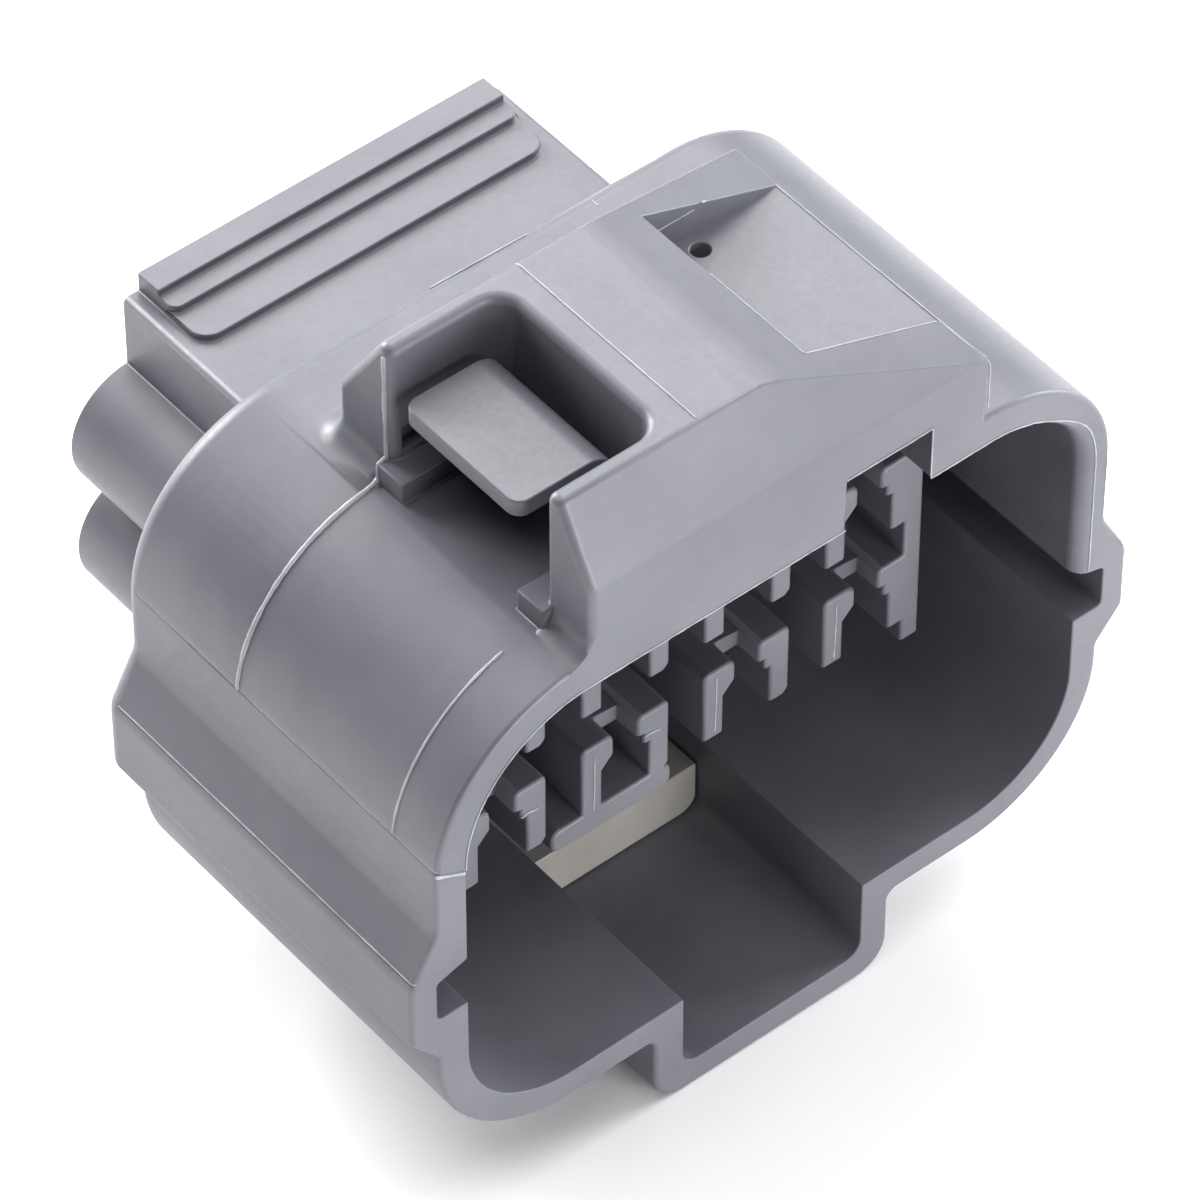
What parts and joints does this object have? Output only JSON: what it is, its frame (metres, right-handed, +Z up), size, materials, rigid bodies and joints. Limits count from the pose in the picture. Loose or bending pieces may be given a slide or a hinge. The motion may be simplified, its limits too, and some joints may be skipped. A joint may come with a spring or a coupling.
{
  "type": "sealed automotive connector",
  "caption": "Empty male housing of a sealed wire-to-wire connector: a deep socket with terminal guides, a hood with a clip slot on top, seal tubes behind and a slide-in terminal retainer.",
  "frame": {"origin": "centre of the bounding box's underside, on the flat underside of the keyway", "axes": "+X to the right seen from the mouth, along the rows of cavities; +Y from the mouth to the wire side; +Z up, towards the hood"},
  "size_m": [0.0352, 0.0278, 0.0347],
  "materials": {
    "housing_plastic": "moulded, fine matt",
    "retainer_plastic": "moulded, smooth"
  },
  "bodies": {
    "housing": {"housing": "housing_plastic"},
    "retainer": {"terminal_retainer": "retainer_plastic"}
  },
  "joints": [
    {"name": "retainer_slide", "type": "slide", "parent": "housing", "child": "retainer", "axis": [0, -1, 0], "range_m": [0, 0.0015]}
  ]
}
